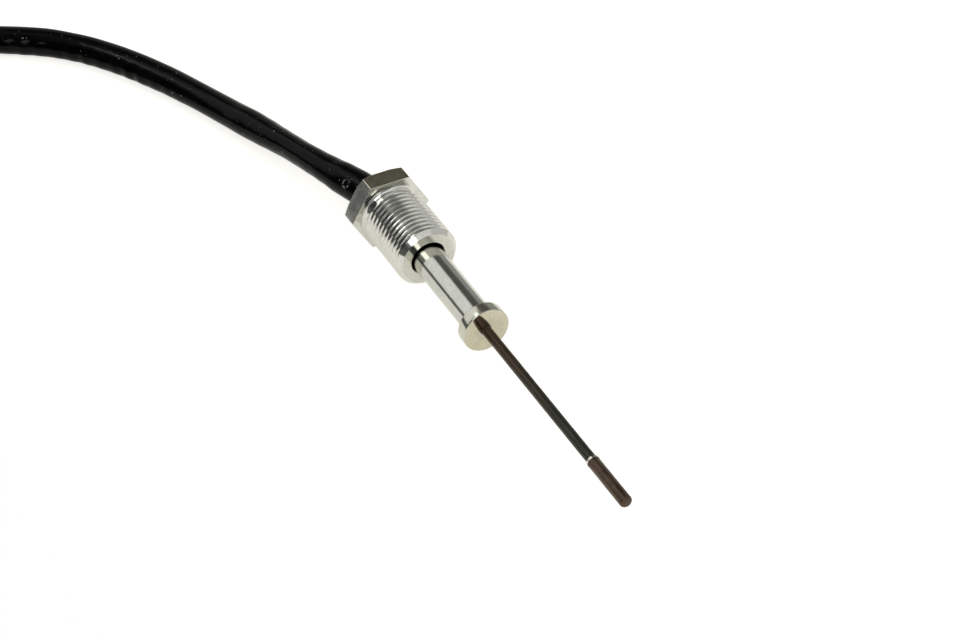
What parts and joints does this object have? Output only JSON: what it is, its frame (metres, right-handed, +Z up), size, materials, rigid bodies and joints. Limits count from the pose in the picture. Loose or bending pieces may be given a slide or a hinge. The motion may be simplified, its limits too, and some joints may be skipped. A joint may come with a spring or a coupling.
{
  "type": "exhaust gas temperature sensor",
  "caption": "Exhaust gas temperature sensor: thin capped probe, stop collar, tube with a hollow threaded nut that slides on it, and a black sleeved cable ending in a plug.",
  "frame": {"origin": "on the ground under the middle of the rigid part, cable and plug left out; the nut's lower flat is on the ground", "axes": "+X along the probe towards its tip, +Z up, square to the nut's lower flat"},
  "size_m": [0.3224, 0.1013, 0.018],
  "materials": {
    "plated_nut": "bright plated steel, machined",
    "bright_tube": "satin drawn stainless tube",
    "turned_collar": "turned stainless, polished face",
    "oxidised_sheath": "dark brown oxide from drawing and annealing",
    "oxidised_cap": "brown oxide with a bright open rim",
    "mineral_packing": "pressed white mineral powder",
    "element_ceramic": "fired white ceramic",
    "cement": "set ceramic cement",
    "wire_alloy": "drawn alloy wire",
    "crimp_metal": "nickel plated",
    "copper_strand": "stranded copper, taken as one round",
    "lead_cover": "silicone insulation",
    "grommet_rubber": "moulded silicone",
    "black_sleeve": "glossy black sleeving with a little dust",
    "boot_rubber": "moulded black rubber",
    "plug_plastic": "moulded black plastic",
    "lock_plastic": "moulded red plastic",
    "seal_rubber": "moulded silicone",
    "contact_metal": "tinned copper alloy"
  },
  "bodies": {
    "probe": {"protection_tube": "bright_tube", "stop_collar": "turned_collar", "sheath": "oxidised_sheath", "sheath_packing": "mineral_packing", "tip_cap": "oxidised_cap", "sensing_element": "element_ceramic", "element_lead_a": "wire_alloy", "element_lead_b": "wire_alloy", "tip_cement": "cement", "core_wire_a": "wire_alloy", "core_wire_b": "wire_alloy", "crimp_sleeve_a": "crimp_metal", "crimp_sleeve_b": "crimp_metal", "lead_conductor_a": "copper_strand", "lead_conductor_b": "copper_strand", "lead_insulation_a": "lead_cover", "lead_insulation_b": "lead_cover", "splice_spacer": "element_ceramic", "rear_grommet": "grommet_rubber", "cable_sleeve": "black_sleeve", "plug_boot": "boot_rubber", "plug_housing": "plug_plastic", "plug_lock": "lock_plastic", "plug_seal": "seal_rubber", "plug_lead_a": "lead_cover", "plug_lead_b": "lead_cover", "terminal_a": "contact_metal", "terminal_b": "contact_metal", "wire_seal_a": "seal_rubber", "wire_seal_b": "seal_rubber"},
    "nut": {"hollow_nut": "plated_nut"}
  },
  "joints": [
    {"name": "nut_slide", "type": "slide", "parent": "probe", "child": "nut", "axis": [1, 0, 0], "range_m": [0, 0.0257]}
  ]
}
